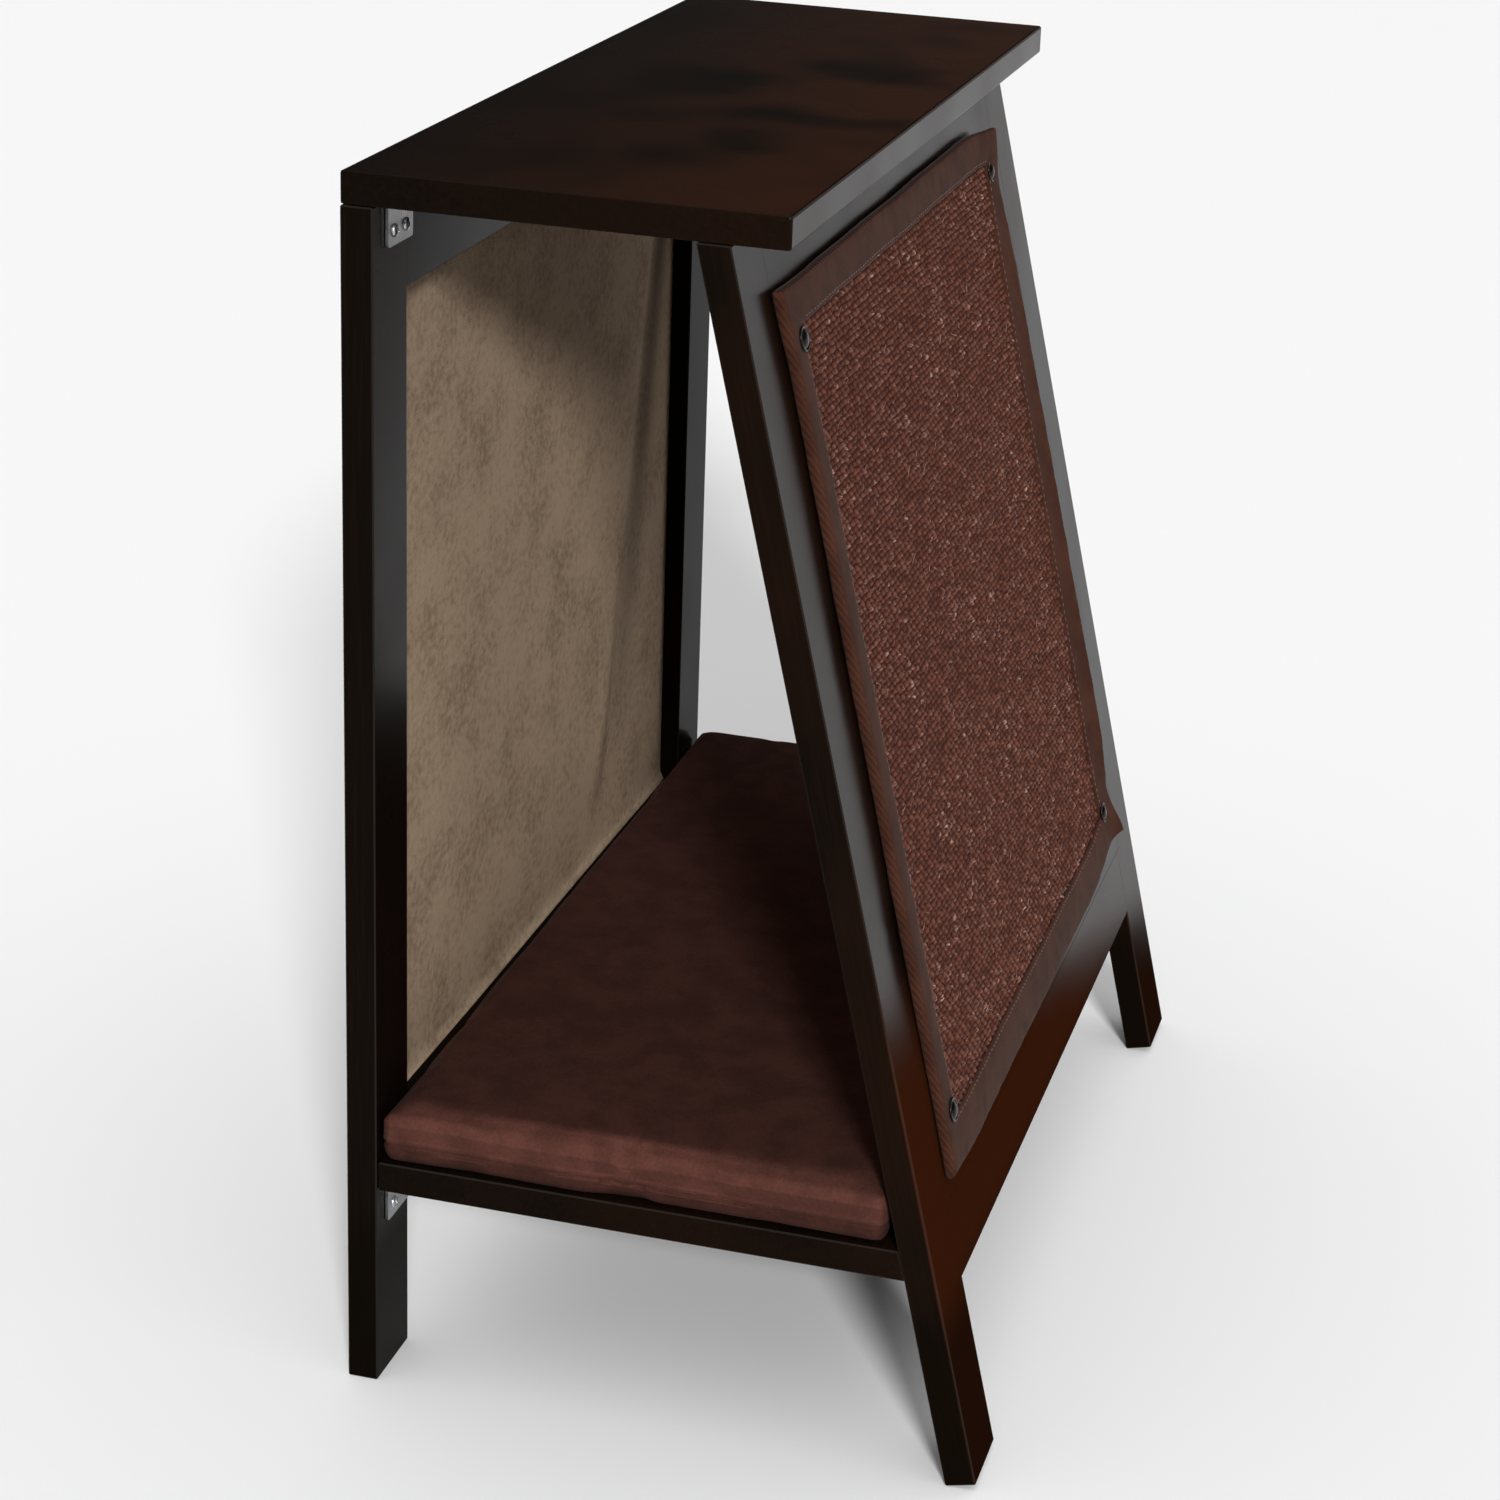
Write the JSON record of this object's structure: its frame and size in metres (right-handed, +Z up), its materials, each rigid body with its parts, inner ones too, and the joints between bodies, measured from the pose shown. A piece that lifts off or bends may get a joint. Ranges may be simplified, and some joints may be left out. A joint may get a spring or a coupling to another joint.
{
  "type": "a-frame cat bed",
  "caption": "A-frame bed for a small pet: a shelf top on an upright side and a leaning side, a cushion on a low bed board, and sisal scratching pads snapped onto the sides.",
  "frame": {"origin": "middle of the footprint of the bounding box, on the floor", "axes": "+X from the upright side towards the leaning side, +Y from the open front to the open back, +Z up"},
  "size_m": [0.3444, 0.54, 0.635],
  "materials": {
    "lacquered_board": "espresso satin lacquer",
    "beech_dowel": "bare beech",
    "natural_canvas": "plain woven canvas",
    "sisal": "dyed woven sisal",
    "faux_suede": "brown brushed faux suede",
    "nickel": "bright nickel plate",
    "black_nickel": "black nickel plate",
    "zinc_steel": "zinc plate"
  },
  "bodies": {
    "frame": {"tabletop": "lacquered_board", "bed_board": "lacquered_board", "left_front_leg": "lacquered_board", "left_rear_leg": "lacquered_board", "left_top_rail": "lacquered_board", "left_bottom_rail": "lacquered_board", "left_side_panel": "lacquered_board", "left_canvas_lining": "natural_canvas", "left_top_front_inner_dowel": "beech_dowel", "left_top_front_outer_dowel": "beech_dowel", "left_top_rear_inner_dowel": "beech_dowel", "left_top_rear_outer_dowel": "beech_dowel", "left_bottom_front_inner_dowel": "beech_dowel", "left_bottom_front_outer_dowel": "beech_dowel", "left_bottom_rear_inner_dowel": "beech_dowel", "left_bottom_rear_outer_dowel": "beech_dowel", "left_top_front_bracket": "zinc_steel", "left_top_rear_bracket": "zinc_steel", "left_bed_front_bracket": "zinc_steel", "left_bed_rear_bracket": "zinc_steel", "left_upper_front_stud": "nickel", "left_upper_rear_stud": "nickel", "left_lower_front_stud": "nickel", "left_lower_rear_stud": "nickel", "right_front_leg": "lacquered_board", "right_rear_leg": "lacquered_board", "right_top_rail": "lacquered_board", "right_bottom_rail": "lacquered_board", "right_side_panel": "lacquered_board", "right_canvas_lining": "natural_canvas", "right_top_front_inner_dowel": "beech_dowel", "right_top_front_outer_dowel": "beech_dowel", "right_top_rear_inner_dowel": "beech_dowel", "right_top_rear_outer_dowel": "beech_dowel", "right_bottom_front_inner_dowel": "beech_dowel", "right_bottom_front_outer_dowel": "beech_dowel", "right_bottom_rear_inner_dowel": "beech_dowel", "right_bottom_rear_outer_dowel": "beech_dowel", "right_top_front_bracket": "zinc_steel", "right_top_rear_bracket": "zinc_steel", "right_bed_front_bracket": "zinc_steel", "right_bed_rear_bracket": "zinc_steel", "right_upper_front_stud": "nickel", "right_upper_rear_stud": "nickel", "right_lower_front_stud": "nickel", "right_lower_rear_stud": "nickel"},
    "cushion": {"bed_cushion": "faux_suede"},
    "left_pad": {"left_pad_sisal_mat": "sisal", "left_pad_binding": "faux_suede", "left_upper_front_snap_cap": "black_nickel", "left_upper_rear_snap_cap": "black_nickel", "left_lower_front_snap_cap": "black_nickel", "left_lower_rear_snap_cap": "black_nickel"},
    "right_pad": {"right_pad_sisal_mat": "sisal", "right_pad_binding": "faux_suede", "right_upper_front_snap_cap": "black_nickel", "right_upper_rear_snap_cap": "black_nickel", "right_lower_front_snap_cap": "black_nickel", "right_lower_rear_snap_cap": "black_nickel"}
  },
  "joints": [
    {"name": "cushion_slide", "type": "slide", "parent": "frame", "child": "cushion", "axis": [0, -1, 0], "range_m": [0, 0.3]},
    {"name": "left_pad_snap", "type": "slide", "parent": "frame", "child": "left_pad", "axis": [-1, 0, 0], "range_m": [0, 0.06]},
    {"name": "right_pad_snap", "type": "slide", "parent": "frame", "child": "right_pad", "axis": [0.9728, 0, 0.2317], "range_m": [0, 0.06]}
  ]
}
